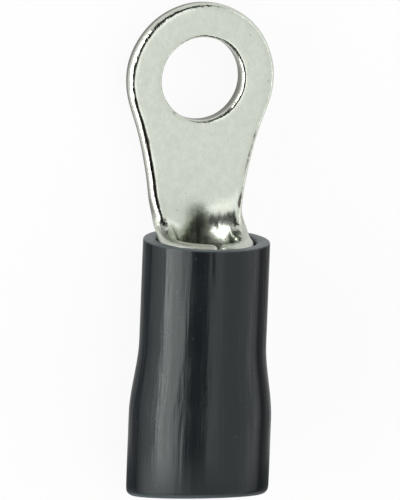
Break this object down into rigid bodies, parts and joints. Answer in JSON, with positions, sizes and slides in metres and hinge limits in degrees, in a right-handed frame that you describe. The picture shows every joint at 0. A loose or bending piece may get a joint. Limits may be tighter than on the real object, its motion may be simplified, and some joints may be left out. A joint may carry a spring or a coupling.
{
  "type": "ring terminal",
  "caption": "Insulated crimp ring terminal: a flat tinned ring tongue that curls into a round wire barrel, gripped by a black vinyl sleeve with a flared mouth.",
  "frame": {"origin": "centre of the stud hole, on the underside of the ring tongue", "axes": "+Z along the stud hole, from the underside to the top of the tongue; +Y from the hole to the ring's tip, with the barrel and sleeve towards -Y; X across the tongue"},
  "size_m": [0.0078, 0.0257, 0.0073],
  "materials": {
    "tinned_copper": "satin",
    "black_vinyl": "satin"
  },
  "bodies": {
    "root": {"terminal": "tinned_copper", "sleeve": "black_vinyl"}
  },
  "joints": []
}
